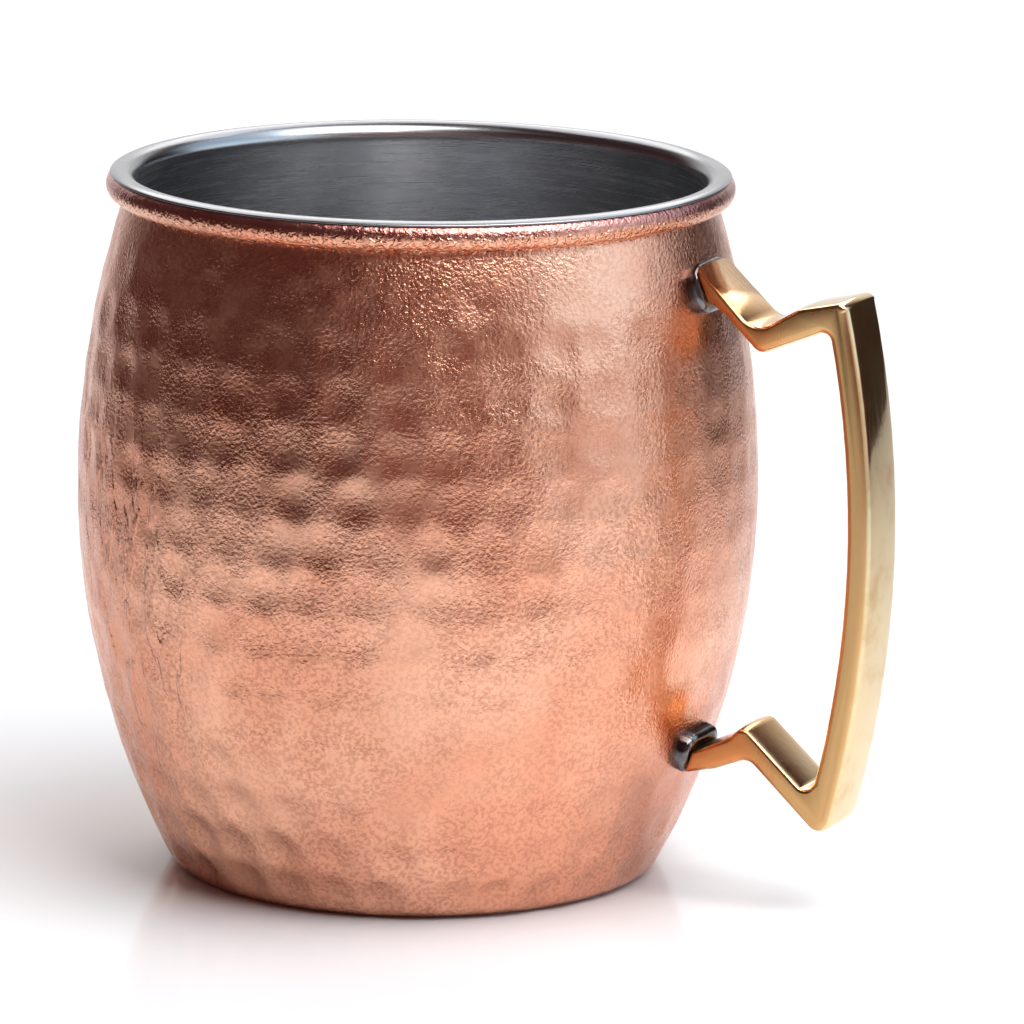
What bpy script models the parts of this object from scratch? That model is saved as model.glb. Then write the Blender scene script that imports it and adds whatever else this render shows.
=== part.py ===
"""Hammered copper mug: copper shell with a wired rim, steel liner and cast brass handle on two bosses.

Frame: the origin is the centre of the underside, on the table. +Z runs up the cup's axis, and the
handle lies in the XZ plane on the +X side. Lengths are in metres.
"""
from math import asin, atan2, cos, hypot, pi, radians, sin, sqrt, tan

import bmesh
import bpy
from mathutils import Matrix, Vector

MM = 0.001

# Fit between the pieces
CLEARANCE = 0.3 * MM
MERGE = 0.01 * MM

# Barrel: two arcs that meet at the belly, and a rounded foot
BELLY_RADIUS = 46.5 * MM
BELLY_HEIGHT = 53.0 * MM
LOWER_ARC = 112.0 * MM
UPPER_ARC = 126.5 * MM
FOOT_ROUND = 3.6 * MM

# Sheet thicknesses
SHELL_SHEET = 0.7 * MM
LINER_SHEET = 0.4 * MM

# Rim: the shell's edge curls out over a wire, and the liner's lip laps over the curl
RIM_HEIGHT = 94.2 * MM
CURL_RADIUS = 1.85 * MM
CURL_END = radians(-98.0)
LIP_END = radians(68.0)

# Facets of the turned pieces
TURN_STEPS = 48
WIRE_SIDES = 10
WALL_POINTS = 9
FOOT_POINTS = 4
OUTER_CURL_POINTS = 13
INNER_CURL_POINTS = 10

# Handle casting. An outline point is its distance from the axis, its height and its rounding, in mm.
HANDLE_WIDTH = 10.3 * MM
HANDLE_EDGE = 0.8 * MM
EDGE_STEPS = 2
UPPER_ARM_TOP = [(52.15, 79.7, 3.0), (58.0, 83.3, 7.0), (65.0, 84.9, 1.2)]
LOWER_ARM_UNDER = [(63.4, 10.3, 2.2), (51.7, 20.8, 1.8), (46.8, 18.8, 8.0)]
LOWER_ARM_TOP = [(49.0, 23.8, 3.0), (51.1, 25.9, 1.4), (61.0, 17.1, 1.2)]
UPPER_ARM_UNDER = [(62.3, 80.35, 1.0), (52.45, 76.25, 2.0), (47.2, 81.2, 5.0)]
GRIP_BOW_OUTSIDE = 4.9
GRIP_BOW_INSIDE = 3.8
GRIP_POINTS = 11
CORNER_POINTS = 4

# The handle's roots: height on the wall, depth of the arm there, and the side (1 is up, -1 is down)
# on which the boss reaches further past the arm
UPPER_ROOT = {"height": 84.8 * MM, "depth": 4.6 * MM, "tail": -1}
LOWER_ROOT = {"height": 20.0 * MM, "depth": 3.4 * MM, "tail": 1}

# Bosses between the wall and the handle, and the handle's spigots in them. A boss is cut from a blank
# that first runs on into the wall.
BOSS_THICKNESS = 1.3 * MM
BLANK_IN_WALL = 2.0 * MM
ARM_OFF_WALL = BOSS_THICKNESS + 2 * CLEARANCE
BOSS_WIDTH = 10.4 * MM
BOSS_CORNER = 2.7 * MM
BOSS_EDGE = 0.6 * MM
BOSS_LAP = 0.4 * MM
BOSS_TAIL = 1.9 * MM
SPIGOT_RADIUS = 0.95 * MM
SPIGOT_SIDES = 16
SPIGOT_OFF_WALL = 0.45 * MM
SPIGOT_BURIED = 1.0 * MM
BORE_CUTTER_LENGTH = 6.0 * MM

COPPER = (0.83, 0.42, 0.30, 1.0)
STEEL = (0.60, 0.60, 0.60, 1.0)
DARK_STEEL = (0.35, 0.35, 0.36, 1.0)
BRASS = (0.80, 0.62, 0.34, 1.0)


def clear_scene():
    for item in list(bpy.data.objects):
        bpy.data.objects.remove(item, do_unlink=True)


def new_collection(name):
    collection = bpy.data.collections.new(name)
    bpy.context.scene.collection.children.link(collection)
    return collection


def metal(name, colour, roughness):
    material = bpy.data.materials.new(name)
    material.use_nodes = True
    shader = material.node_tree.nodes["Principled BSDF"]
    shader.inputs["Base Color"].default_value = colour
    shader.inputs["Roughness"].default_value = roughness
    shader.inputs["Metallic"].default_value = 1.0
    return material


def add_object(name, mesh, collection, material=None):
    item = bpy.data.objects.new(name, mesh)
    collection.objects.link(item)
    if material:
        mesh.materials.append(material)
    return item


def make_cutter(item):
    item.hide_render = True
    item.display_type = "WIRE"
    return item


def boolean(item, cutter, operation):
    modifier = item.modifiers.new(cutter.name, "BOOLEAN")
    modifier.operation = operation
    modifier.object = cutter
    modifier.solver = "EXACT"


# Shape of the barrel's wall. An offset moves a side inwards, square to the wall.

def wall_radius(height, offset=0.0):
    arc = LOWER_ARC if height < BELLY_HEIGHT else UPPER_ARC
    rise = height - BELLY_HEIGHT
    return BELLY_RADIUS - arc + sqrt((arc - offset) ** 2 - rise ** 2)


def wall_tilt(height):
    """Angle of the wall's outward normal above the horizontal."""
    arc = LOWER_ARC if height < BELLY_HEIGHT else UPPER_ARC
    return asin((height - BELLY_HEIGHT) / arc)


def arc_points(centre, radius, start, end, count):
    angles = [start + (end - start) * i / (count - 1) for i in range(count)]
    return [(centre[0] + radius * cos(a), centre[1] + radius * sin(a)) for a in angles]


def foot_side(offset):
    """Rounded foot that touches both the lower arc and the underside, from the wall down."""
    reach = LOWER_ARC - FOOT_ROUND
    drop = BELLY_HEIGHT - FOOT_ROUND
    centre = (BELLY_RADIUS - LOWER_ARC + sqrt(reach ** 2 - drop ** 2), FOOT_ROUND)
    return arc_points(centre, FOOT_ROUND - offset, -asin(drop / reach), -pi / 2, FOOT_POINTS)


def rim_centre():
    """Centre of the rim's wire, placed so that the wall runs smoothly into the curl."""
    reach = UPPER_ARC + CURL_RADIUS - SHELL_SHEET
    rise = RIM_HEIGHT - BELLY_HEIGHT
    return (BELLY_RADIUS - UPPER_ARC + sqrt(reach ** 2 - rise ** 2), RIM_HEIGHT)


def curl_start():
    """Angle about the rim's centre at which the wall runs into the curl."""
    return pi + asin((RIM_HEIGHT - BELLY_HEIGHT) / (UPPER_ARC + CURL_RADIUS - SHELL_SHEET))


def wall_side(offset):
    """The side's points between the curl and the foot, from the top down."""
    top = BELLY_HEIGHT + (UPPER_ARC - offset) * sin(curl_start() - pi)
    foot = foot_side(offset)[0][1]
    step = (top - foot) / (WALL_POINTS - 1)
    heights = [top - i * step for i in range(WALL_POINTS - 1)]
    return [(wall_radius(z, offset), z) for z in heights]


def curled_sheet(inner_offset, sheet, inner_curl, outer_curl, end):
    """Section of a cup of sheet metal: up its inside, over the rim, back under it and down its outside."""
    centre = rim_centre()
    outer_offset = inner_offset - sheet
    points = [(0.0, inner_offset)]
    points += reversed(wall_side(inner_offset)[1:] + foot_side(inner_offset))
    points += arc_points(centre, outer_curl, curl_start(), end, OUTER_CURL_POINTS)
    points += arc_points(centre, inner_curl, end, curl_start(), INNER_CURL_POINTS)
    points += wall_side(outer_offset)[1:] + foot_side(outer_offset)
    points.append((0.0, outer_offset))
    return points


def turned(name, points, collection, material=None):
    mesh = bpy.data.meshes.new(name)
    edges = [(i, i + 1) for i in range(len(points) - 1)]
    mesh.from_pydata([(x, 0.0, z) for x, z in points], edges, [])
    item = add_object(name, mesh, collection, material)
    screw = item.modifiers.new("Turn", "SCREW")
    screw.steps = TURN_STEPS
    screw.render_steps = TURN_STEPS
    screw.use_merge_vertices = True
    screw.merge_threshold = MERGE
    screw.use_smooth_shade = True
    return item


# Handle outline, in millimetres in its own plane

def bow(start, end, height, count):
    """Points between start and end on a shallow arc that bulges away from the axis."""
    sx, sz = start
    ex, ez = end
    half = hypot(ex - sx, ez - sz) / 2
    radius = (half ** 2 + height ** 2) / (2 * height)
    spread = asin(half / radius)
    along = Vector((ex - sx, ez - sz)).normalized()
    across = Vector((abs(along.y), -along.x if along.y > 0 else along.x))
    middle = Vector(((sx + ex) / 2, (sz + ez) / 2)) + across * (height - radius)
    points = []
    for i in range(1, count + 1):
        angle = spread * (2 * i / (count + 1) - 1)
        spot = middle + along * radius * sin(angle) + across * radius * cos(angle)
        points.append((spot.x, spot.y, 0.0))
    return points


def rounded(points):
    """Replaces each corner of a closed outline by an arc of its own radius."""
    outline = []
    for i, (x, z, radius) in enumerate(points):
        corner = Vector((x, z))
        if radius == 0.0:
            outline.append(corner)
            continue
        before = (Vector(points[i - 1][:2]) - corner).normalized()
        after = (Vector(points[(i + 1) % len(points)][:2]) - corner).normalized()
        half = before.angle(after) / 2
        centre = corner + (before + after).normalized() * radius / sin(half)
        first = corner + before * radius / tan(half) - centre
        last = corner + after * radius / tan(half) - centre
        sweep = atan2(first.x * last.y - first.y * last.x, first.dot(last))
        for k in range(CORNER_POINTS):
            outline.append(centre + Matrix.Rotation(sweep * k / (CORNER_POINTS - 1), 2) @ first)
    return outline


def root_frame(root):
    """Point on the wall under an arm, the wall's outward normal and its upward tangent."""
    tilt = wall_tilt(root["height"])
    wall = Vector((wall_radius(root["height"]), 0.0, root["height"]))
    normal = Vector((cos(tilt), 0.0, sin(tilt)))
    tangent = Vector((-sin(tilt), 0.0, cos(tilt)))
    return wall, normal, tangent


def arm_end(root):
    """Upper and lower corner of the arm's flat end, just off the boss, as outline points."""
    wall, normal, tangent = root_frame(root)
    middle = wall + normal * ARM_OFF_WALL
    corners = [middle + tangent * root["depth"] / 2, middle - tangent * root["depth"] / 2]
    return [(corner.x / MM, corner.z / MM, 0.0) for corner in corners]


def handle_outline():
    upper_end = arm_end(UPPER_ROOT)
    lower_end = arm_end(LOWER_ROOT)
    outside = bow(UPPER_ARM_TOP[-1][:2], LOWER_ARM_UNDER[0][:2], GRIP_BOW_OUTSIDE, GRIP_POINTS)
    inside = bow(LOWER_ARM_TOP[-1][:2], UPPER_ARM_UNDER[0][:2], GRIP_BOW_INSIDE, GRIP_POINTS)
    points = [upper_end[0]] + UPPER_ARM_TOP + outside
    points += LOWER_ARM_UNDER + [lower_end[1], lower_end[0]] + LOWER_ARM_TOP + inside
    points += UPPER_ARM_UNDER + [upper_end[1]]
    return rounded(points)


def outward_directions(outline):
    """Unit vectors out of the metal at the points of the outline."""
    directions = []
    for i, spot in enumerate(outline):
        before = (spot - outline[i - 1]).normalized()
        after = (outline[(i + 1) % len(outline)] - spot).normalized()
        along = (before + after).normalized()
        directions.append(Vector((-along.y, along.x)))
    return directions


def softened_slab(name, outline, collection):
    """A closed outline in the XZ plane, in millimetres, swept over the handle's width, edges rounded over."""
    outward = outward_directions(outline)
    turns = [pi / 2 * i / EDGE_STEPS for i in range(EDGE_STEPS + 1)]
    near = [(HANDLE_EDGE * (1 - cos(a)) - HANDLE_WIDTH / 2, HANDLE_EDGE * (1 - sin(a))) for a in turns]
    far = [(-across, inset) for across, inset in reversed(near)]
    shape = bmesh.new()
    rings = []
    for across, inset in near + far:
        ring = []
        for spot, direction in zip(outline, outward):
            place = spot * MM - direction * inset
            ring.append(shape.verts.new((place.x, across, place.y)))
        rings.append(ring)
    shape.faces.new(rings[0])
    shape.faces.new(rings[-1][::-1])
    for first, second in zip(rings, rings[1:]):
        for i in range(len(outline)):
            j = (i + 1) % len(outline)
            shape.faces.new((first[i], second[i], second[j], first[j]))
    bmesh.ops.recalc_face_normals(shape, faces=shape.faces)
    mesh = bpy.data.meshes.new(name)
    shape.to_mesh(mesh)
    shape.free()
    return add_object(name, mesh, collection)


def pin(name, start, direction, length, radius, collection):
    """A cylinder from start along direction."""
    mesh = bpy.data.meshes.new(name)
    shape = bmesh.new()
    bmesh.ops.create_cone(shape, cap_ends=True, segments=SPIGOT_SIDES,
                          radius1=radius, radius2=radius, depth=length)
    turn = Vector((0.0, 0.0, 1.0)).rotation_difference(direction).to_matrix().to_4x4()
    place = Matrix.Translation(start + direction * length / 2)
    bmesh.ops.transform(shape, matrix=place @ turn, verts=shape.verts)
    shape.to_mesh(mesh)
    shape.free()
    return make_cutter(add_object(name, mesh, collection))


def spigot(name, root, collection):
    """Spigot from inside the arm's end to just off the wall."""
    wall, normal, _ = root_frame(root)
    start = wall + normal * SPIGOT_OFF_WALL
    length = ARM_OFF_WALL - SPIGOT_OFF_WALL + SPIGOT_BURIED
    return pin(name, start, normal, length, SPIGOT_RADIUS, collection)


def make_handle(collection, cutters, material):
    handle = softened_slab("brass_handle", handle_outline(), collection)
    handle.data.materials.append(material)
    handle.data.shade_smooth()
    for name, root in (("upper_spigot", UPPER_ROOT), ("lower_spigot", LOWER_ROOT)):
        boolean(handle, spigot(name, root, cutters), "UNION")
    return handle


def make_boss(name, root, wall_cutter, collection, cutters, material):
    """Boss plate square to the wall, hollowed to the wall's shape and bored for the spigot."""
    wall, normal, tangent = root_frame(root)
    height = root["depth"] + BOSS_LAP + BOSS_TAIL
    shift = tangent * root["tail"] * (BOSS_TAIL - BOSS_LAP) / 2
    depth = BLANK_IN_WALL + CLEARANCE + BOSS_THICKNESS
    mesh = bpy.data.meshes.new(name)
    shape = bmesh.new()
    bmesh.ops.create_cube(shape, size=1.0)
    bmesh.ops.scale(shape, vec=(depth, BOSS_WIDTH, height), verts=shape.verts)
    corners = [e for e in shape.edges if abs(e.verts[0].co.x - e.verts[1].co.x) > depth / 2]
    bmesh.ops.bevel(shape, geom=corners, offset=BOSS_CORNER, segments=5, profile=0.5, affect="EDGES")
    front = [e for e in shape.edges if min(v.co.x for v in e.verts) > depth / 2 - MERGE]
    bmesh.ops.bevel(shape, geom=front, offset=BOSS_EDGE, segments=2, profile=0.5, affect="EDGES")
    turn = Matrix.Rotation(-wall_tilt(root["height"]), 4, "Y")
    place = Matrix.Translation(wall + shift + normal * (depth / 2 - BLANK_IN_WALL))
    bmesh.ops.transform(shape, matrix=place @ turn, verts=shape.verts)
    shape.to_mesh(mesh)
    shape.free()
    boss = add_object(name, mesh, collection, material)
    boolean(boss, wall_cutter, "DIFFERENCE")
    start = wall - normal * BORE_CUTTER_LENGTH / 2
    bore_radius = SPIGOT_RADIUS + CLEARANCE
    bore = pin(name + "_bore", start, normal, BORE_CUTTER_LENGTH, bore_radius, cutters)
    boolean(boss, bore, "DIFFERENCE")
    return boss


def make_wall_cutter(collection):
    """The barrel grown by the clearance, as a solid."""
    side = wall_side(-CLEARANCE) + foot_side(-CLEARANCE)[:1]
    points = [(0.0, side[0][1])] + side + [(0.0, side[-1][1])]
    return make_cutter(turned("wall_cutter", points, collection))


def make_rim_wire(collection, material):
    centre = rim_centre()
    bpy.ops.mesh.primitive_torus_add(
        major_radius=centre[0], minor_radius=CURL_RADIUS - SHELL_SHEET - CLEARANCE,
        major_segments=TURN_STEPS, minor_segments=WIRE_SIDES, location=(0.0, 0.0, centre[1]))
    wire = bpy.context.object
    wire.name = "rim_wire"
    for owner in list(wire.users_collection):
        owner.objects.unlink(wire)
    collection.objects.link(wire)
    wire.data.materials.append(material)
    wire.data.shade_smooth()
    return wire


def main():
    clear_scene()
    mug = new_collection("copper_mug")
    cutters = new_collection("cutters")
    copper = metal("satin_copper", COPPER, 0.35)
    steel = metal("satin_steel", STEEL, 0.30)
    boss_steel = metal("dark_steel", DARK_STEEL, 0.20)
    brass = metal("cast_brass", BRASS, 0.30)

    shell = curled_sheet(SHELL_SHEET, SHELL_SHEET, CURL_RADIUS - SHELL_SHEET, CURL_RADIUS, CURL_END)
    turned("copper_shell", shell, mug, copper)

    lip = CURL_RADIUS + CLEARANCE
    inside = SHELL_SHEET + CLEARANCE + LINER_SHEET
    liner = curled_sheet(inside, LINER_SHEET, lip, lip + LINER_SHEET, LIP_END)
    turned("steel_liner", liner, mug, steel)

    make_rim_wire(mug, steel)
    make_handle(mug, cutters, brass)
    wall_cutter = make_wall_cutter(cutters)
    make_boss("upper_boss", UPPER_ROOT, wall_cutter, mug, cutters, boss_steel)
    make_boss("lower_boss", LOWER_ROOT, wall_cutter, mug, cutters, boss_steel)


main()
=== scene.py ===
"""Looks of the copper mug: hammered copper shell, satin steel liner, wired rim and cast brass handle."""

from math import asin, atan2, cos, degrees, hypot, pi, radians, sin, sqrt, tan

import bmesh
import bpy
import numpy as np
from mathutils import Matrix, Vector


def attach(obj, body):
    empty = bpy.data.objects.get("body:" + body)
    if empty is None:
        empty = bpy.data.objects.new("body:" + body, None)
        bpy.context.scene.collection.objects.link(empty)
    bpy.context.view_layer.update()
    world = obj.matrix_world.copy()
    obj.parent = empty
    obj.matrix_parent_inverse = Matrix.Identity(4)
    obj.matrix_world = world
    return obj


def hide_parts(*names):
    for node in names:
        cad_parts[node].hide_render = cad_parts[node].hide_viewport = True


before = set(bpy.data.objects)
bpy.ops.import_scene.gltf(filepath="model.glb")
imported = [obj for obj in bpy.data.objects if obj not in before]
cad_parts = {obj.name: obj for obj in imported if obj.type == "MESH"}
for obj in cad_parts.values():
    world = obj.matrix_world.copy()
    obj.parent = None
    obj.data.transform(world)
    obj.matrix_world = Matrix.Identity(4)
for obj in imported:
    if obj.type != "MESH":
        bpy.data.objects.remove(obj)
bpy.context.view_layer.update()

MM = 0.001

# Barrel, foot and curl, as in the CAD
BELLY_RADIUS = 46.5 * MM
BELLY_HEIGHT = 53.0 * MM
LOWER_ARC = 112.0 * MM
UPPER_ARC = 126.5 * MM
FOOT_ROUND = 3.6 * MM
SHELL_SHEET = 0.7 * MM
RIM_HEIGHT = 94.2 * MM
CURL_RADIUS = 1.85 * MM
CURL_END = radians(-98)

# Liner: thinner sheet than in the CAD, so that its lip lies straight on the curl
LINER_SHEET = 0.25 * MM
LINER_INSET = 0.72 * MM
LIP_RADIUS = 1.87 * MM
LIP_END = radians(52)

# Points round and along the turned pieces: many on the hammered wall, few on hidden sides
SHELL_COLUMNS = 480
LINER_COLUMNS = 240
HAMMERED_POINTS = 122
HAMMERED_FOOT_POINTS = 9
LINER_POINTS = 60
LINER_FOOT_POINTS = 10
HIDDEN_POINTS = 14
HIDDEN_FOOT_POINTS = 4
CURL_POINTS = 26
HIDDEN_CURL_POINTS = 10
LIP_POINTS = 24
HIDDEN_LIP_POINTS = 12
FLAT_RINGS = (8 * MM, 20 * MM)
HIDDEN_FLAT_RING = 10 * MM

# Hammer marks: rows of shallow round dents, each shifted and sized a little by chance. The row above
# the first full one is faint, the low rows are deeper, and near the handle the marks fade.
MARK_PITCH = 7.35 * MM
MARK_ROW_PITCH = 6.45 * MM
MARK_ROWS = 13
MARK_TOP = 79.0 * MM
MARK_RADIUS = 3.7 * MM
MARK_DEPTH = 0.30 * MM
MARK_ROUNDNESS = 1.5
MARK_SEED = 7
MARK_SHIFT_ROUND = 0.09
MARK_SHIFT_ALONG = 0.05
MARK_SIZES = (0.86, 1.08)
MARK_DEPTHS = (0.55, 1.15)
MARK_SEARCH_MARGIN = 1.3
FAINT_ROW_STRENGTH = 0.35
LOW_MARKS_DEEPER = 1.3
MID_ROW = 6
MARK_NEAR_HANDLE = 0.4
MARK_FADE = (radians(14), radians(38))

# Surface of the copper: grain, drops on the rim's bead, runs down the wall, painted shade on the bead's
# top, and a painted reflection of the handle round the bosses
GRAIN_DEPTH = 0.17 * MM
BEAD_FOOT = (91.6 * MM, 92.6 * MM)
# Heights over which the bead's top takes its painted shade
BEAD_SHADE_HEIGHTS = (93.9 * MM, 94.9 * MM)
BEAD_DROP_DEPTH = 0.16 * MM
BEAD_DROPS_FADE = (94.6 * MM, 93.8 * MM)
RUN_DEPTH = 0.30 * MM
RUNS_AT = (-35.0 * MM, -31.0 * MM, 42.0 * MM)
RUNS_REACH = 36 * MM
# How far round each boss the painted reflection of the handle reaches, and how unevenly
HANDLE_REFLECTION_REACH = 20 * MM
HANDLE_REFLECTION_UNEVENNESS = 4 * MM
HANDLE_REFLECTION_SPOTS = [(44.0 * MM, 0.0, 82.0 * MM), (41.0 * MM, 0.0, 17.0 * MM)]

# Steel and brass: where the liner's lip takes its painted shade, how deep the brushed lines and the cast
# skin are, and how far from the axis the arms' painted copper reflection gives way to the grip's pale brass
LIP_SHADE_BAND = (94.2 * MM, 95.2 * MM)
STEEL_LINE_DEPTH = 0.004 * MM
BRASS_LINE_DEPTH = 0.012 * MM
BRASS_SKIN_DEPTH = 0.02 * MM
COPPER_REFLECTION_ON_ARMS = (60 * MM, 50 * MM)

# Colours of the metals
COPPER_LIGHT = (0.85, 0.45, 0.30, 1)
COPPER_DEEP = (0.77, 0.35, 0.22, 1)
# Painted reflection of the handle, laid on the copper round the bosses
COPPER_HANDLE_REFLECTION = (0.52, 0.21, 0.13, 1)
# Painted shade on the top of the rim's bead
COPPER_BEAD_SHADE = (0.50, 0.22, 0.19, 1)
COPPER_PIT = (0.36, 0.13, 0.08, 1)
STEEL_LIGHT = (0.64, 0.64, 0.65, 1)
STEEL_DEEP = (0.56, 0.56, 0.57, 1)
# Painted shade on the liner's lip
STEEL_LIP_SHADE = (0.24, 0.24, 0.25, 1)
BRASS_LIGHT = (0.74, 0.57, 0.33, 1)
BRASS_DEEP = (0.60, 0.39, 0.18, 1)
# Painted reflection of the copper body on the arms
BRASS_COPPER_REFLECTION = (0.72, 0.39, 0.16, 1)
# Painted reflection on the handle's two flat sides, warmer on the arms
BRASS_SIDE_REFLECTION = (0.62, 0.36, 0.14, 1)
BRASS_SIDE_COPPER_REFLECTION = (0.70, 0.19, 0.05, 1)
BOSS_LIGHT = (0.18, 0.18, 0.19, 1)
BOSS_DEEP = (0.10, 0.09, 0.09, 1)

# Handle outline as in the CAD, in millimetres: distance from the axis, height, and rounding, which is a
# little larger here at two corners
UPPER_ARM_TOP = [(52.15, 79.7, 3.0), (58.0, 83.3, 7.0), (65.0, 84.9, 1.5)]
LOWER_ARM_UNDER = [(63.4, 10.3, 2.2), (51.7, 20.8, 1.8), (46.8, 18.8, 8.0)]
LOWER_ARM_TOP = [(49.0, 23.8, 3.0), (51.1, 25.9, 1.6), (61.0, 17.1, 1.2)]
UPPER_ARM_UNDER = [(62.3, 80.35, 1.0), (52.45, 76.25, 2.0), (47.2, 81.2, 5.0)]
GRIP_BOW_OUTSIDE = 4.9
GRIP_BOW_INSIDE = 3.8
GRIP_POINTS = 15
CORNER_POINTS = 9
ARM_IN_BOSS = 0.1 * MM

# Handle section, in millimetres but for its width: edges are sharper where the outline faces up, though
# not on the grip's outer face, the faces are crowned, and the lower arm is slimmer than the rest
HANDLE_WIDTH = 10.3 * MM
TOP_EDGE = 0.5
OTHER_EDGE = 1.05
FACING_UP = (0.2, 0.5)
FACING_OUT = (0.85, 0.95)
CROWN = 0.25
LOWER_ARM_SLIMMER = 0.45
SLIM_BELOW = (24.0, 32.0)
SLIM_INSIDE = (58.0, 64.0)
EDGE_RINGS = 7
FACE_RINGS = 7

# The handle's roots: height on the wall, depth of the arm there, and the side (1 is up, -1 is down)
# on which the boss reaches further past the arm
UPPER_ROOT = {"height": 84.8 * MM, "depth": 4.6 * MM, "tail": -1}
LOWER_ROOT = {"height": 20.0 * MM, "depth": 3.4 * MM, "tail": 1}

# Bosses: as in the CAD, but with rounder edges and sunk into the hammered wall
BOSS_THICKNESS = 1.3 * MM
BOSS_OFF_WALL = 0.3 * MM
BOSS_SUNK = 0.55 * MM
BOSS_WIDTH = 10.4 * MM
BOSS_CORNER = 2.7 * MM
BOSS_CORNER_STEPS = 12
BOSS_EDGE = 0.9 * MM
BOSS_EDGE_STEPS = 5
BOSS_LAP = 0.4 * MM
BOSS_TAIL = 1.9 * MM
SHARP_ANGLE = radians(40)

# Camera: in front of the mug, turned towards its handle and looking a little down
CAMERA_AZIMUTH = radians(26.3)
CAMERA_ELEVATION = radians(12.41)
CAMERA_DISTANCE = 1.0
CAMERA_LENS = 256.8
CAMERA_SENSOR = 36.0
CAMERA_ROLL = radians(0.74)
CAMERA_CLIP = (0.01, 20.0)
LOOK_HEIGHT = 48.0 * MM
AIM_RIGHT = 12.90 * MM
AIM_UP = 0.77 * MM

# Glows of the studio round the mug, each laid over the last: azimuth to the right of the camera and
# elevation in degrees, cosines where the glow starts and is full, and its colour
WORLD_BASE = (0.095, 0.047, 0.046, 1)
WORLD_BACKGROUND = (1.0, 1.0, 1.0, 1)
WORLD_GLOWS = [
    (10, 10, 0.74, 0.98, (0.25, 0.12, 0.11, 1)),
    (70, -4, 0.72, 0.92, (0.74, 0.64, 0.62, 1)),
    (82, 36, 0.72, 0.92, (1.15, 1.48, 1.80, 1)),
    (180, 10, 0.70, 0.95, (1.0, 1.0, 1.0, 1)),
    (133, 3, 0.93, 0.958, (0.05, 0.035, 0.03, 1)),
]

# Area lights, in metres and watts: one over the mug, and one over the floor behind it
OVERHEAD = {"place": (0.15, -0.07, 0.37), "aim": (0, 0, 0), "size": (0.30, 0.30), "power": 1.85}
BACKDROP = {"place": (-0.36, 0.73, 0.70), "aim": (-0.34, 0.70, 0), "size": (0.9, 1.1), "power": 8.0}

# Floor: a glossy pale plane just under the foot, its middle a little behind the mug
FLOOR_WIDTH = 1.04
FLOOR_LENGTH = 2.8
FLOOR_BACK = 0.1
FLOOR_DROP = 0.05 * MM
FLOOR_COLOUR = (0.85, 0.85, 0.85, 1)
FLOOR_ROUGHNESS = 0.12
FLOOR_SPECULAR = 0.25


# Geometry of the barrel's wall, in the plane through its axis

def wall_radius(height, offset=0.0):
    """Radius of the wall's outside at a height, or of the line that far inside it."""
    arc_radius = np.where(height < BELLY_HEIGHT, LOWER_ARC, UPPER_ARC)
    return BELLY_RADIUS - arc_radius + np.sqrt((arc_radius - offset) ** 2 - (height - BELLY_HEIGHT) ** 2)


def wall_tilt(height):
    """Angle by which the wall's outside faces upwards at a height."""
    arc_radius = LOWER_ARC if height < BELLY_HEIGHT else UPPER_ARC
    return asin((height - BELLY_HEIGHT) / arc_radius)


def arc(centre, radius, start, end, count):
    """Points of an arc between two angles, both ends included."""
    angles = np.linspace(start, end, count)
    return [(centre[0] + radius * cos(a), centre[1] + radius * sin(a)) for a in angles]


def foot_arc(offset, count):
    """Points of the rounded foot, or of the line that far inside it, down to the flat underside."""
    reach = LOWER_ARC - FOOT_ROUND
    drop = BELLY_HEIGHT - FOOT_ROUND
    centre = (BELLY_RADIUS - LOWER_ARC + sqrt(reach ** 2 - drop ** 2), FOOT_ROUND)
    return arc(centre, FOOT_ROUND - offset, -asin(drop / reach), -pi / 2, count)


def rim_centre():
    """Middle of the curl's section, placed so that the curl runs smoothly out of the wall."""
    reach = UPPER_ARC + CURL_RADIUS - SHELL_SHEET
    rise = RIM_HEIGHT - BELLY_HEIGHT
    return (BELLY_RADIUS - UPPER_ARC + sqrt(reach ** 2 - rise ** 2), RIM_HEIGHT)


def curl_start():
    """Angle round the middle of the curl's section at which the wall runs into it."""
    return pi + asin((RIM_HEIGHT - BELLY_HEIGHT) / (UPPER_ARC + CURL_RADIUS - SHELL_SHEET))


def wall_line(offset, count, foot_count):
    """Points from the curl down to the edge of the flat underside."""
    top = BELLY_HEIGHT + (UPPER_ARC - offset) * sin(curl_start() - pi)
    foot = foot_arc(offset, foot_count)
    heights = np.linspace(top, foot[0][1], count)
    line = [(float(wall_radius(z, offset)), float(z)) for z in heights]
    return line + foot[1:]


# Mesh builders

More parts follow.
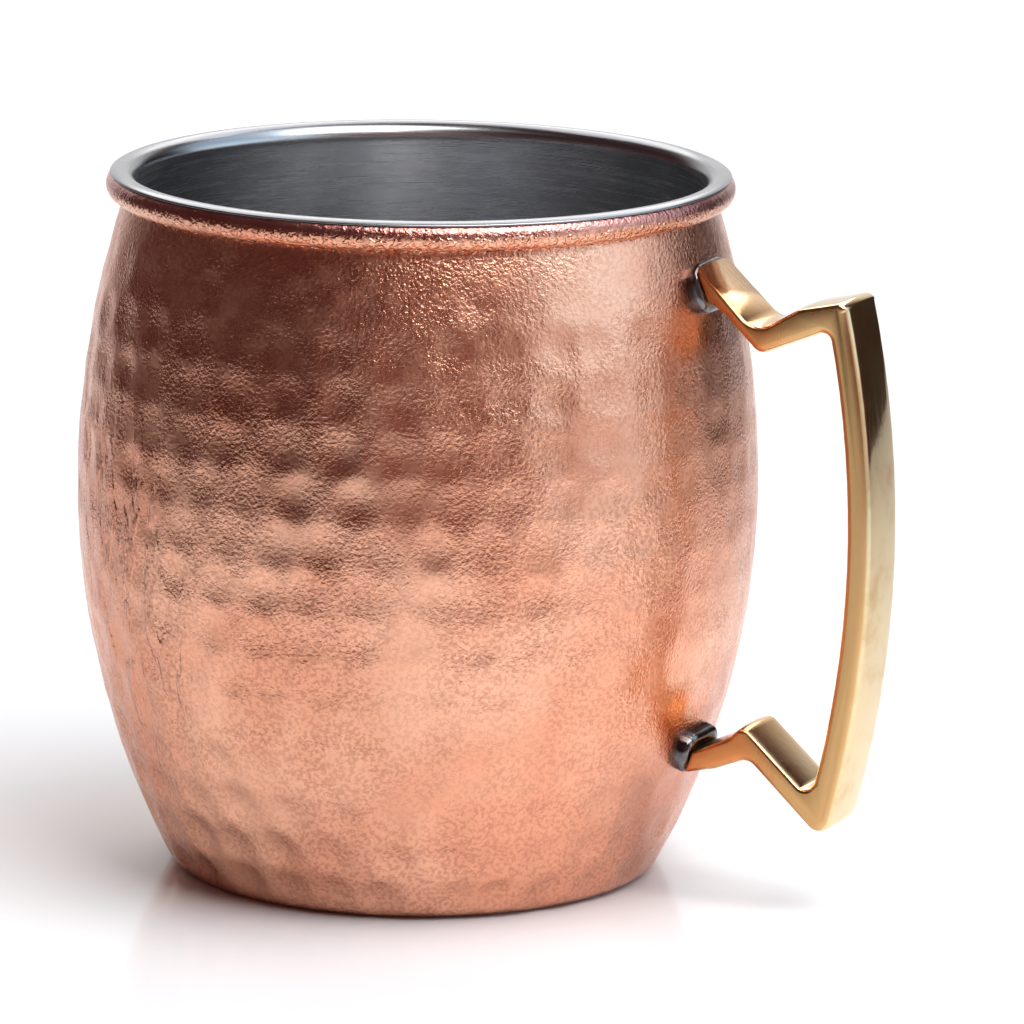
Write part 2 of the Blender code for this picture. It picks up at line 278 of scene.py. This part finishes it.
def mesh_from_grid(name, radii, heights, columns):
    """Closed surface of revolution whose first and last rows are points on the axis."""
    angles = np.linspace(0, 2 * pi, columns, endpoint=False)
    rows = len(radii) - 2
    x = (radii[1:-1] * np.cos(angles)).ravel()
    y = (radii[1:-1] * np.sin(angles)).ravel()
    z = heights[1:-1].ravel()
    ends = [(0.0, 0.0, float(heights[0, 0])), (0.0, 0.0, float(heights[-1, 0]))]
    vertices = list(zip(x.tolist(), y.tolist(), z.tolist())) + ends
    first, last = rows * columns, rows * columns + 1
    index = np.arange(rows * columns).reshape(rows, columns)
    turned = np.roll(index, -1, axis=1)
    quads = np.stack([index[:-1], index[1:], turned[1:], turned[:-1]], axis=-1).reshape(-1, 4)
    faces = quads.tolist()
    faces += [(first, a, b) for a, b in zip(index[0].tolist(), turned[0].tolist())]
    faces += [(last, b, a) for a, b in zip(index[-1].tolist(), turned[-1].tolist())]
    mesh = bpy.data.meshes.new(name)
    mesh.from_pydata(vertices, [], faces)
    mesh.update()
    shape = bmesh.new()
    shape.from_mesh(mesh)
    bmesh.ops.recalc_face_normals(shape, faces=shape.faces)
    shape.to_mesh(mesh)
    shape.free()
    mesh.shade_smooth()
    return mesh


def turned_grid(points, columns):
    """Radii and heights of a profile's points, repeated round the axis."""
    points = np.array(points)
    return np.repeat(points[:, :1], columns, axis=1), np.repeat(points[:, 1:], columns, axis=1)


def add_piece(name, mesh, material, node):
    piece = bpy.data.objects.new(name, mesh)
    bpy.context.scene.collection.objects.link(piece)
    mesh.materials.append(material)
    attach(piece, "root")
    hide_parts(node)


# Copper shell

def mark_dents(radii, lengths, top):
    """How far each point of the outer wall is beaten in, by rows of round marks."""
    rng = np.random.default_rng(MARK_SEED)
    angles = np.linspace(0, 2 * pi, SHELL_COLUMNS, endpoint=False)
    dents = np.zeros((len(radii), SHELL_COLUMNS))
    for row in range(-1, MARK_ROWS):
        centre = top + row * MARK_ROW_PITCH
        row_radius = float(np.interp(centre, lengths, radii))
        count = round(2 * pi * row_radius / MARK_PITCH)
        phase = rng.uniform(0, 1)
        deeper = LOW_MARKS_DEEPER * max(0, row - MID_ROW) / (MARK_ROWS - MID_ROW)
        strength = FAINT_ROW_STRENGTH if row < 0 else 1.0 + deeper
        for k in range(count):
            angle = 2 * pi * (k + phase + rng.normal(0, MARK_SHIFT_ROUND)) / count
            along = centre + rng.normal(0, MARK_SHIFT_ALONG) * MARK_ROW_PITCH
            size = MARK_RADIUS * rng.uniform(*MARK_SIZES)
            depth = MARK_DEPTH * rng.uniform(*MARK_DEPTHS) * strength
            from_handle = abs((angle + pi) % (2 * pi) - pi)
            depth *= np.interp(from_handle, MARK_FADE, (MARK_NEAR_HANDLE, 1.0))
            turn = (angles - angle + pi) % (2 * pi) - pi
            rows_near = np.nonzero(np.abs(lengths - along) < size)[0]
            columns_near = np.nonzero(np.abs(turn) * row_radius < size * MARK_SEARCH_MARGIN)[0]
            grid = np.ix_(rows_near, columns_near)
            across = turn[columns_near][None, :] * radii[rows_near][:, None]
            distance = np.hypot(across, (lengths[rows_near] - along)[:, None]) / size
            cap = np.clip(1 - distance ** 2, 0, 1) ** MARK_ROUNDNESS
            dents[grid] = np.maximum(dents[grid], depth * cap)
    return dents


def hammered_shell():
    """Shell from its floor up the inside, round the curl and down the outside, its marks beaten in."""
    centre = rim_centre()
    outside = wall_line(0.0, HAMMERED_POINTS, HAMMERED_FOOT_POINTS)
    inside = wall_line(SHELL_SHEET, HIDDEN_POINTS, HIDDEN_FOOT_POINTS)
    points = [(0.0, SHELL_SHEET), (HIDDEN_FLAT_RING, SHELL_SHEET)] + inside[::-1][:-1]
    points += arc(centre, CURL_RADIUS, curl_start(), CURL_END, CURL_POINTS)
    points += arc(centre, CURL_RADIUS - SHELL_SHEET, CURL_END, curl_start(), HIDDEN_CURL_POINTS)[:-1]
    start = len(points)
    points += outside + [(ring, 0.0) for ring in FLAT_RINGS[::-1]] + [(0.0, 0.0)]
    wall = np.array(outside)
    steps = np.hypot(*np.diff(wall, axis=0).T)
    lengths = np.concatenate([[0], np.cumsum(steps)])
    top = float(np.interp(-MARK_TOP, -wall[:, 1], lengths))
    dents = mark_dents(wall[:, 0], lengths, top)
    tangent = np.gradient(wall, axis=0)
    tangent /= np.linalg.norm(tangent, axis=1)[:, None]
    normal = np.stack([-tangent[:, 1], tangent[:, 0]], axis=1)
    radii, heights = turned_grid(points, SHELL_COLUMNS)
    rows = slice(start, start + len(wall))
    radii[rows] -= dents * normal[:, :1]
    heights[rows] -= dents * normal[:, 1:]
    return mesh_from_grid("hammered_shell", radii, heights, SHELL_COLUMNS)


# Steel liner

def liner_cup():
    """Liner from its floor up the inside, over the lip and down the hidden outside."""
    centre = rim_centre()
    inner = LINER_INSET + LINER_SHEET
    inside = wall_line(inner, LINER_POINTS, LINER_FOOT_POINTS)
    outside = wall_line(LINER_INSET, HIDDEN_POINTS, HIDDEN_FOOT_POINTS)
    points = [(0.0, inner)] + [(ring, inner) for ring in FLAT_RINGS] + inside[::-1][:-1]
    points += arc(centre, LIP_RADIUS + LINER_SHEET, curl_start(), LIP_END, LIP_POINTS)
    points += arc(centre, LIP_RADIUS, LIP_END, curl_start(), HIDDEN_LIP_POINTS)[:-1]
    points += outside + [(0.0, LINER_INSET)]
    radii, heights = turned_grid(points, LINER_COLUMNS)
    return mesh_from_grid("liner_cup", radii, heights, LINER_COLUMNS)


# Handle

def bow(start, end, height, count):
    """Points of the arc between two ends that swells outwards, away from the cup, by a height."""
    sx, sz = start
    ex, ez = end
    half = hypot(ex - sx, ez - sz) / 2
    radius = (half ** 2 + height ** 2) / (2 * height)
    spread = asin(half / radius)
    along = Vector((ex - sx, ez - sz)).normalized()
    across = Vector((abs(along.y), -along.x if along.y > 0 else along.x))
    middle = Vector(((sx + ex) / 2, (sz + ez) / 2)) + across * (height - radius)
    points = []
    for i in range(1, count + 1):
        angle = spread * (2 * i / (count + 1) - 1)
        spot = middle + along * radius * sin(angle) + across * radius * cos(angle)
        points.append((spot.x, spot.y, 0.0))
    return points


def rounded(points):
    """The outline with an arc at each corner whose third value, its radius, isn't 0."""
    outline = []
    for i, (x, z, radius) in enumerate(points):
        corner = Vector((x, z))
        if radius == 0.0:
            outline.append(corner)
            continue
        before = (Vector(points[i - 1][:2]) - corner).normalized()
        after = (Vector(points[(i + 1) % len(points)][:2]) - corner).normalized()
        half = before.angle(after) / 2
        centre = corner + (before + after).normalized() * radius / sin(half)
        first = corner + before * radius / tan(half) - centre
        last = corner + after * radius / tan(half) - centre
        sweep = atan2(first.x * last.y - first.y * last.x, first.dot(last))
        for k in range(CORNER_POINTS):
            outline.append(centre + Matrix.Rotation(sweep * k / (CORNER_POINTS - 1), 2) @ first)
    return outline


def root_frame(root):
    """A root's point on the wall, with the wall's normal and its upward tangent there."""
    tilt = wall_tilt(root["height"])
    wall = Vector((float(wall_radius(root["height"])), 0.0, root["height"]))
    normal = Vector((cos(tilt), 0.0, sin(tilt)))
    tangent = Vector((-sin(tilt), 0.0, cos(tilt)))
    return wall, normal, tangent


def arm_end(root):
    """The two corners in which the handle's outline ends, just inside the boss's face."""
    wall, normal, tangent = root_frame(root)
    middle = wall + normal * (BOSS_THICKNESS + BOSS_OFF_WALL - ARM_IN_BOSS)
    corners = [middle + tangent * root["depth"] / 2, middle - tangent * root["depth"] / 2]
    return [(corner.x / MM, corner.z / MM, 0.0) for corner in corners]


def handle_outline():
    upper_end = arm_end(UPPER_ROOT)
    lower_end = arm_end(LOWER_ROOT)
    outside = bow(UPPER_ARM_TOP[-1][:2], LOWER_ARM_UNDER[0][:2], GRIP_BOW_OUTSIDE, GRIP_POINTS)
    inside = bow(LOWER_ARM_TOP[-1][:2], UPPER_ARM_UNDER[0][:2], GRIP_BOW_INSIDE, GRIP_POINTS)
    points = [upper_end[0]] + UPPER_ARM_TOP + outside
    points += LOWER_ARM_UNDER + [lower_end[1], lower_end[0]] + LOWER_ARM_TOP + inside
    points += UPPER_ARM_UNDER + [upper_end[1]]
    return rounded(points)


def outward_directions(outline):
    """Unit vectors that point out of the outline at its points."""
    steps = np.roll(outline, -1, axis=0) - outline
    steps /= np.linalg.norm(steps, axis=1)[:, None]
    along = steps + np.roll(steps, 1, axis=0)
    along /= np.linalg.norm(along, axis=1)[:, None]
    return np.stack([-along[:, 1], along[:, 0]], axis=1)


def casting_stations(outline, outward):
    """Across the width, for each ring: every point's place in Y and how far an edge draws it in."""
    facing_up = np.interp(outward[:, 1], FACING_UP, (0, 1))
    topside = facing_up * np.interp(outward[:, 0], FACING_OUT, (1, 0))
    edge = OTHER_EDGE + (TOP_EDGE - OTHER_EDGE) * topside
    slim = np.interp(outline[:, 1], SLIM_BELOW, (1, 0)) * np.interp(outline[:, 0], SLIM_INSIDE, (1, 0))
    half = HANDLE_WIDTH / MM / 2 - LOWER_ARM_SLIMMER * slim
    turns = np.radians(np.linspace(0, 90, EDGE_RINGS))
    stations = [(-half + edge * (1 - cos(a)), edge * (1 - sin(a))) for a in turns]
    for share in np.linspace(-1, 1, FACE_RINGS + 2)[1:-1]:
        stations.append((share * (half - edge), np.zeros(len(outline))))
    stations += [(half - edge * (1 - cos(a)), edge * (1 - sin(a))) for a in turns[::-1]]
    return [(across, inset + CROWN * (across / half) ** 2) for across, inset in stations]


def handle_casting():
    """The outline swept across the width, its edges rounded over and its faces slightly crowned."""
    outline = np.array([(p.x, p.y) for p in handle_outline()])
    outward = outward_directions(outline)
    rings = []
    shape = bmesh.new()
    for across, depth in casting_stations(outline, outward):
        spots = outline - outward * depth[:, None]
        rings.append([shape.verts.new((x * MM, float(y) * MM, z * MM))
                      for (x, z), y in zip(spots.tolist(), across)])
    count = len(outline)
    shape.faces.new(rings[0])
    shape.faces.new(rings[-1][::-1])
    for first, second in zip(rings, rings[1:]):
        for i in range(count):
            j = (i + 1) % count
            shape.faces.new((first[i], second[i], second[j], first[j]))
    bmesh.ops.recalc_face_normals(shape, faces=shape.faces)
    mesh = bpy.data.meshes.new("handle_casting")
    shape.to_mesh(mesh)
    shape.free()
    mesh.shade_smooth()
    return mesh


# Bosses

def boss_plate(name, root):
    """A plate with rounded corners and front edges, laid along the wall at a root of the handle."""
    wall, normal, tangent = root_frame(root)
    height = root["depth"] + BOSS_LAP + BOSS_TAIL
    shift = tangent * root["tail"] * (BOSS_TAIL - BOSS_LAP) / 2
    depth = BOSS_SUNK + BOSS_OFF_WALL + BOSS_THICKNESS
    mesh = bpy.data.meshes.new(name)
    shape = bmesh.new()
    bmesh.ops.create_cube(shape, size=1.0)
    bmesh.ops.scale(shape, vec=(depth, BOSS_WIDTH, height), verts=shape.verts)
    corners = [e for e in shape.edges if abs(e.verts[0].co.x - e.verts[1].co.x) > depth / 2]
    bmesh.ops.bevel(shape, geom=corners, offset=BOSS_CORNER, segments=BOSS_CORNER_STEPS, profile=0.5,
                    affect="EDGES")
    front = [e for e in shape.edges if all(v.co.x > 0.0 for v in e.verts)]
    bmesh.ops.bevel(shape, geom=front, offset=BOSS_EDGE, segments=BOSS_EDGE_STEPS, profile=0.5,
                    affect="EDGES")
    turn = Matrix.Rotation(-wall_tilt(root["height"]), 4, "Y")
    place = Matrix.Translation(wall + shift + normal * (depth / 2 - BOSS_SUNK))
    bmesh.ops.transform(shape, matrix=place @ turn, verts=shape.verts)
    shape.to_mesh(mesh)
    shape.free()
    mesh.shade_smooth()
    mesh.set_sharp_from_angle(angle=SHARP_ANGLE)
    return mesh


# Shader nodes

def link_or_set(tree, socket, value):
    """Sets a socket to a number or colour, or links it to another node's output."""
    if isinstance(value, (int, float, tuple)):
        socket.default_value = value
    else:
        tree.links.new(value, socket)


def smooth_ramp(tree, value, low, high, to_low=0.0, to_high=1.0):
    node = tree.nodes.new("ShaderNodeMapRange")
    node.interpolation_type = "SMOOTHSTEP"
    tree.links.new(value, node.inputs["Value"])
    for socket, number in zip(("From Min", "From Max", "To Min", "To Max"), (low, high, to_low, to_high)):
        node.inputs[socket].default_value = number
    return node.outputs["Result"]


def mixed_colour(tree, factor, first, second):
    node = tree.nodes.new("ShaderNodeMix")
    node.data_type = "RGBA"
    colour_in = [socket for socket in node.inputs if socket.type == "RGBA"]
    colour_out = next(socket for socket in node.outputs if socket.type == "RGBA")
    tree.links.new(factor, node.inputs["Factor"])
    link_or_set(tree, colour_in[0], first)
    link_or_set(tree, colour_in[1], second)
    return colour_out


class Nodes:
    """A material's node tree with short calls for the nodes used here."""

    def __init__(self, name, metallic=0.0):
        self.material = bpy.data.materials.new(name)
        self.material.use_nodes = True
        self.tree = self.material.node_tree
        self.shader = self.tree.nodes["Principled BSDF"]
        self.shader.inputs["Metallic"].default_value = metallic
        self.place = self.add("ShaderNodeTexCoord").outputs["Object"]

    def add(self, kind, **values):
        node = self.tree.nodes.new(kind)
        for key, value in values.items():
            setattr(node, key, value)
        return node

    def link(self, source, target):
        self.tree.links.new(source, target)

    def stretched(self, scale):
        """The place, scaled by itself along each axis."""
        node = self.add("ShaderNodeMapping")
        node.inputs["Scale"].default_value = scale
        self.link(self.place, node.inputs["Vector"])
        return node.outputs["Vector"]

    def noise(self, scale, detail=2.0, roughness=0.5, vector=None):
        node = self.add("ShaderNodeTexNoise")
        node.inputs["Scale"].default_value = scale
        node.inputs["Detail"].default_value = detail
        node.inputs["Roughness"].default_value = roughness
        self.link(vector or self.place, node.inputs["Vector"])
        return node.outputs["Fac"]

    def lines(self, scale):
        """Fine lines, from noise that is stretched along one axis."""
        return self.noise(1.0, 2, 0.5, self.stretched(scale))

    def coordinate(self, axis):
        node = self.add("ShaderNodeSeparateXYZ")
        self.link(self.place, node.inputs["Vector"])
        return node.outputs[axis]

    def sideways(self):
        """How far the surface faces along Y, from 0 to 1."""
        node = self.add("ShaderNodeSeparateXYZ")
        self.link(self.add("ShaderNodeTexCoord").outputs["Normal"], node.inputs["Vector"])
        return self.math("ABSOLUTE", node.outputs["Y"], 0.0)

    def distance(self, spot):
        node = self.add("ShaderNodeVectorMath", operation="DISTANCE")
        self.link(self.place, node.inputs[0])
        node.inputs[1].default_value = spot
        return node.outputs["Value"]

    def ramp(self, value, low, high, to_low=0.0, to_high=1.0):
        return smooth_ramp(self.tree, value, low, high, to_low, to_high)

    def math(self, operation, first, second):
        node = self.add("ShaderNodeMath", operation=operation)
        link_or_set(self.tree, node.inputs[0], first)
        link_or_set(self.tree, node.inputs[1], second)
        return node.outputs["Value"]

    def mix(self, factor, first, second):
        return mixed_colour(self.tree, factor, first, second)

    def bump(self, height, distance, strength=1.0, normal=None):
        node = self.add("ShaderNodeBump")
        node.inputs["Strength"].default_value = strength
        node.inputs["Distance"].default_value = distance
        self.link(height, node.inputs["Height"])
        if normal:
            self.link(normal, node.inputs["Normal"])
        return node.outputs["Normal"]


# Materials

def copper_colour(n, height, mist):
    """Clouded copper with a painted reflection of the handle round the bosses, painted shade on the bead's
    top and dark pits in the grain.
    """
    cloud = n.ramp(n.noise(45, 3), 0.36, 0.66)
    colour = n.mix(cloud, COPPER_LIGHT, COPPER_DEEP)
    # Painted reflection of the handle, darkening the copper round each boss
    for spot in HANDLE_REFLECTION_SPOTS:
        uneven = n.ramp(n.noise(130, 3), 0.2, 0.8, -HANDLE_REFLECTION_UNEVENNESS, HANDLE_REFLECTION_UNEVENNESS)
        reach = n.math("ADD", n.distance(spot), uneven)
        stain_and_painted_reflection = n.ramp(reach, HANDLE_REFLECTION_REACH, 0.25 * HANDLE_REFLECTION_REACH, 0.0, 0.8)
        colour = n.mix(stain_and_painted_reflection, colour, COPPER_HANDLE_REFLECTION)
    # Painted shade on the bead's top
    colour = n.mix(n.ramp(height, *BEAD_SHADE_HEIGHTS), colour, COPPER_BEAD_SHADE)
    pits = n.ramp(n.noise(1700, 2, 0.6), 0.56, 0.40, 0.0, 0.42)
    return n.mix(n.math("MULTIPLY", pits, mist), colour, COPPER_PIT)


def copper_relief(n, height, mist, bead):
    """Bump of the fine grain, of drops on the bead, and of runs on the wall's left side."""
    grain = n.math("MULTIPLY", n.noise(2100, 2, 0.6), mist)
    normal = n.bump(grain, GRAIN_DEPTH, 0.9)
    drops = n.math("MULTIPLY", n.ramp(n.noise(1500, 1, 0.4), 0.42, 0.62), bead)
    drops = n.math("MULTIPLY", drops, n.ramp(height, *BEAD_DROPS_FADE, 0.15, 1.0))
    normal = n.bump(drops, BEAD_DROP_DEPTH, 0.9, normal)
    runs = n.ramp(n.noise(1.0, 3, 0.55, n.stretched((420, 420, 90))), 0.50, 0.62)
    wet = n.ramp(n.distance(RUNS_AT), RUNS_REACH, 0.4 * RUNS_REACH, 0.06, 1.0)
    return n.bump(n.math("MULTIPLY", runs, wet), RUN_DEPTH, 0.8, normal)


def copper():
    n = Nodes("satin_copper", metallic=1.0)
    height = n.coordinate("Z")
    bead = n.ramp(height, *BEAD_FOOT)
    mist = n.ramp(n.noise(70, 3), 0.32, 0.6, 0.35, 1.0)
    n.link(copper_colour(n, height, mist), n.shader.inputs["Base Color"])
    rough = n.ramp(n.noise(300, 2), 0.3, 0.7, 0.21, 0.30)
    n.link(n.math("SUBTRACT", rough, n.math("MULTIPLY", bead, 0.04)), n.shader.inputs["Roughness"])
    n.link(copper_relief(n, height, mist, bead), n.shader.inputs["Normal"])
    return n.material


def steel():
    """Satin steel, brushed round the cup, with painted shade on the liner's lip."""
    n = Nodes("satin_steel", metallic=1.0)
    inside = n.mix(n.ramp(n.noise(120, 3), 0.35, 0.65), STEEL_LIGHT, STEEL_DEEP)
    # Painted shade on the lip
    lip_shade = n.ramp(n.coordinate("Z"), *LIP_SHADE_BAND)
    n.link(n.mix(lip_shade, inside, STEEL_LIP_SHADE), n.shader.inputs["Base Color"])
    lines = n.lines((60, 60, 2600))
    n.link(n.ramp(lines, 0.3, 0.7, 0.2, 0.3), n.shader.inputs["Roughness"])
    n.link(n.bump(lines, STEEL_LINE_DEPTH, 0.3), n.shader.inputs["Normal"])
    return n.material


def brass():
    """Stained brass, brushed lengthwise, with a painted copper reflection on the arms and a painted browner
    reflection on the two flat sides, which are also duller.
    """
    n = Nodes("cast_brass", metallic=1.0)
    stain_and_painted_reflection = n.ramp(n.noise(160, 4, 0.6), 0.42, 0.75)
    # Painted copper reflection on the arms, which also roughens them
    copper_reflection_mask = n.ramp(n.coordinate("X"), *COPPER_REFLECTION_ON_ARMS, 0.0, 0.75)
    # Painted reflection on the flat sides, which also dulls them
    side_reflection_mask = n.ramp(n.sideways(), 0.55, 0.9, 0.0, 0.85)
    colour = n.mix(copper_reflection_mask, n.mix(stain_and_painted_reflection, BRASS_LIGHT, BRASS_DEEP), BRASS_COPPER_REFLECTION)
    side_reflection_colour = n.mix(copper_reflection_mask, BRASS_SIDE_REFLECTION, BRASS_SIDE_COPPER_REFLECTION)
    n.link(n.mix(side_reflection_mask, colour, side_reflection_colour), n.shader.inputs["Base Color"])
    lines = n.lines((2200, 2200, 120))
    rough = n.ramp(lines, 0.3, 0.7, 0.07, 0.12)
    rough = n.math("ADD", rough, n.math("MULTIPLY", copper_reflection_mask, 0.12))
    n.link(n.math("ADD", rough, n.math("MULTIPLY", side_reflection_mask, 0.15)), n.shader.inputs["Roughness"])
    brushed = n.bump(lines, BRASS_LINE_DEPTH, 0.4)
    n.link(n.bump(n.noise(900, 3), BRASS_SKIN_DEPTH, 0.25, brushed), n.shader.inputs["Normal"])
    return n.material


def boss_steel():
    n = Nodes("dark_steel", metallic=1.0)
    shade = n.ramp(n.noise(500, 3), 0.35, 0.65)
    n.link(n.mix(shade, BOSS_LIGHT, BOSS_DEEP), n.shader.inputs["Base Color"])
    n.link(n.ramp(n.noise(900, 2), 0.3, 0.7, 0.1, 0.2), n.shader.inputs["Roughness"])
    return n.material


# Studio

def towards(azimuth, elevation):
    """Unit vector from the mug: azimuth in degrees to the right of the camera, elevation in degrees."""
    turn = CAMERA_AZIMUTH + radians(azimuth)
    rise = radians(elevation)
    return Vector((sin(turn) * cos(rise), -cos(turn) * cos(rise), sin(rise)))


def make_camera():
    look = Vector((0.0, 0.0, LOOK_HEIGHT))
    place = look + towards(0, degrees(CAMERA_ELEVATION)) * CAMERA_DISTANCE
    forward = (look - place).normalized()
    right = forward.cross(Vector((0, 0, 1))).normalized()
    up = right.cross(forward)
    aim = look + right * AIM_RIGHT + up * AIM_UP
    back = (place - aim).normalized()
    right = Vector((0, 0, 1)).cross(back).normalized()
    up = back.cross(right)
    turn = Matrix((right, up, back)).transposed().to_4x4()
    data = bpy.data.cameras.new("camera")
    data.lens = CAMERA_LENS
    data.sensor_width = CAMERA_SENSOR
    data.clip_start, data.clip_end = CAMERA_CLIP
    camera = bpy.data.objects.new("camera", data)
    camera.matrix_world = Matrix.Translation(place) @ turn @ Matrix.Rotation(CAMERA_ROLL, 4, "Z")
    bpy.context.scene.collection.objects.link(camera)
    bpy.context.scene.camera = camera


def softbox(name, place, aim, size, power):
    data = bpy.data.lights.new(name, "AREA")
    data.shape = "RECTANGLE"
    data.size, data.size_y = size
    data.energy = power
    light = bpy.data.objects.new(name, data)
    light.location = place
    light.rotation_euler = (Vector(aim) - Vector(place)).to_track_quat("-Z", "Y").to_euler()
    bpy.context.scene.collection.objects.link(light)


def make_floor():
    middle = towards(180, 0) * FLOOR_BACK
    bpy.ops.mesh.primitive_plane_add(size=1, location=(middle.x, middle.y, -FLOOR_DROP),
                                     rotation=(0, 0, CAMERA_AZIMUTH))
    floor = bpy.context.object
    floor.name = "floor"
    floor.scale = (FLOOR_WIDTH, FLOOR_LENGTH, 1)
    n = Nodes("floor_white")
    n.shader.inputs["Base Color"].default_value = FLOOR_COLOUR
    n.shader.inputs["Roughness"].default_value = FLOOR_ROUGHNESS
    n.shader.inputs["Specular IOR Level"].default_value = FLOOR_SPECULAR
    floor.data.materials.append(n.material)


def make_world():
    """Studio that the metal reflects: soft glows over a dark base. The background itself is plain white."""
    world = bpy.data.worlds.new("studio")
    world.use_nodes = True
    bpy.context.scene.world = world
    tree = world.node_tree
    direction = tree.nodes.new("ShaderNodeTexCoord").outputs["Generated"]
    colour = WORLD_BASE
    for azimuth, elevation, low, high, glow in WORLD_GLOWS:
        dot = tree.nodes.new("ShaderNodeVectorMath")
        dot.operation = "DOT_PRODUCT"
        dot.inputs[1].default_value = towards(azimuth, elevation)
        tree.links.new(direction, dot.inputs[0])
        colour = mixed_colour(tree, smooth_ramp(tree, dot.outputs["Value"], low, high), colour, glow)
    camera_ray = tree.nodes.new("ShaderNodeLightPath").outputs["Is Camera Ray"]
    shown = mixed_colour(tree, camera_ray, colour, WORLD_BACKGROUND)
    tree.links.new(shown, tree.nodes["Background"].inputs["Color"])


def main():
    add_piece("hammered_shell", hammered_shell(), copper(), "copper_shell")
    steel_material = steel()
    add_piece("liner_cup", liner_cup(), steel_material, "steel_liner")
    add_piece("handle_casting", handle_casting(), brass(), "brass_handle")
    boss_material = boss_steel()
    for node, root in (("upper_boss", UPPER_ROOT), ("lower_boss", LOWER_ROOT)):
        name = node + "_plate"
        add_piece(name, boss_plate(name, root), boss_material, node)
    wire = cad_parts["rim_wire"]
    wire.data.materials.clear()
    wire.data.materials.append(steel_material)
    make_floor()
    make_world()
    softbox("overhead", **OVERHEAD)
    softbox("backdrop", **BACKDROP)
    make_camera()
    bpy.context.scene.view_settings.view_transform = "Standard"


main()
